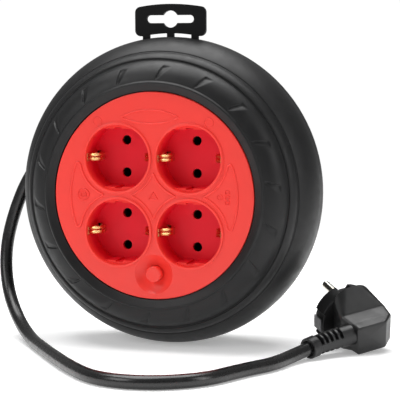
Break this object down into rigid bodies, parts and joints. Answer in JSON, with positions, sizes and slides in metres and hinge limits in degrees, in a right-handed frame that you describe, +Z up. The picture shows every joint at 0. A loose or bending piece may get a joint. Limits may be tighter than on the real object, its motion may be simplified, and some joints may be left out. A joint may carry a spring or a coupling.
{
  "type": "extension cord reel",
  "caption": "Round cassette cord reel: a turning red drum with earthed sockets and a reset button in a black casing, with hang tab, cord and angled plug.",
  "frame": {"origin": "middle of the casing's footprint on the floor, at the middle of its depth", "axes": "+Z up, -Y towards the sockets' side, the drum turns about the Y axis"},
  "size_m": [0.2431, 0.171, 0.2014],
  "materials": {
    "casing_plastic": "fine-textured satin black polypropylene",
    "tab_plastic": "smooth black plastic",
    "panel_red": "satin signal red plastic",
    "drum_plastic": "black moulded plastic",
    "cover_plastic": "pale grey insulating plastic",
    "cutout_plastic": "dark phenolic moulding",
    "cable_pvc": "semi-gloss black PVC sheath",
    "plug_pvc": "satin black moulded PVC",
    "nickel_plate": "nickel-plated brass",
    "contact_brass": "bright stamped brass",
    "screw_steel": "zinc-plated steel",
    "spring_steel": "bare spring steel",
    "wire_brown": "brown PVC insulation",
    "wire_blue": "blue PVC insulation",
    "wire_green": "green and yellow PVC insulation"
  },
  "bodies": {
    "casing": {"front_shell": "casing_plastic", "rear_shell": "casing_plastic", "casing_screws": "screw_steel", "hang_tab": "tab_plastic", "cable_guide": "tab_plastic", "cord": "cable_pvc", "plug_body": "plug_pvc", "plug_pin_bridge": "plug_pvc", "plug_pins": "nickel_plate", "plug_earth_strips": "nickel_plate", "plug_sleeve": "plug_pvc"},
    "drum": {"socket_panel": "panel_red", "socket_cups": "panel_red", "drum_core": "drum_plastic", "rear_flange": "drum_plastic", "wound_cable": "cable_pvc", "live_busbar": "contact_brass", "neutral_busbar": "contact_brass", "earth_bar": "contact_brass", "contact_cover": "cover_plastic", "cable_tail": "cable_pvc", "cord_clamp": "drum_plastic", "clamp_screws": "screw_steel", "panel_screws": "screw_steel", "cover_screws": "screw_steel", "flange_screws": "screw_steel", "live_lead": "wire_brown", "switched_lead": "wire_brown", "neutral_lead": "wire_blue", "earth_lead": "wire_green", "cutout_housing": "cutout_plastic", "cutout_terminals": "contact_brass", "bimetal_strip": "spring_steel", "button_spring": "spring_steel"},
    "button": {"reset_button": "panel_red"}
  },
  "joints": [
    {"name": "drum_spin", "type": "hinge", "parent": "casing", "child": "drum", "pos_m": [0, 0, 0.091], "axis": [0, 1, 0], "continuous": true},
    {"name": "button_press", "type": "slide", "parent": "drum", "child": "button", "axis": [0, 1, 0], "range_m": [-0.0025, 0.001], "stiffness_N_per_m": 400, "deforming": ["button_spring"]}
  ]
}
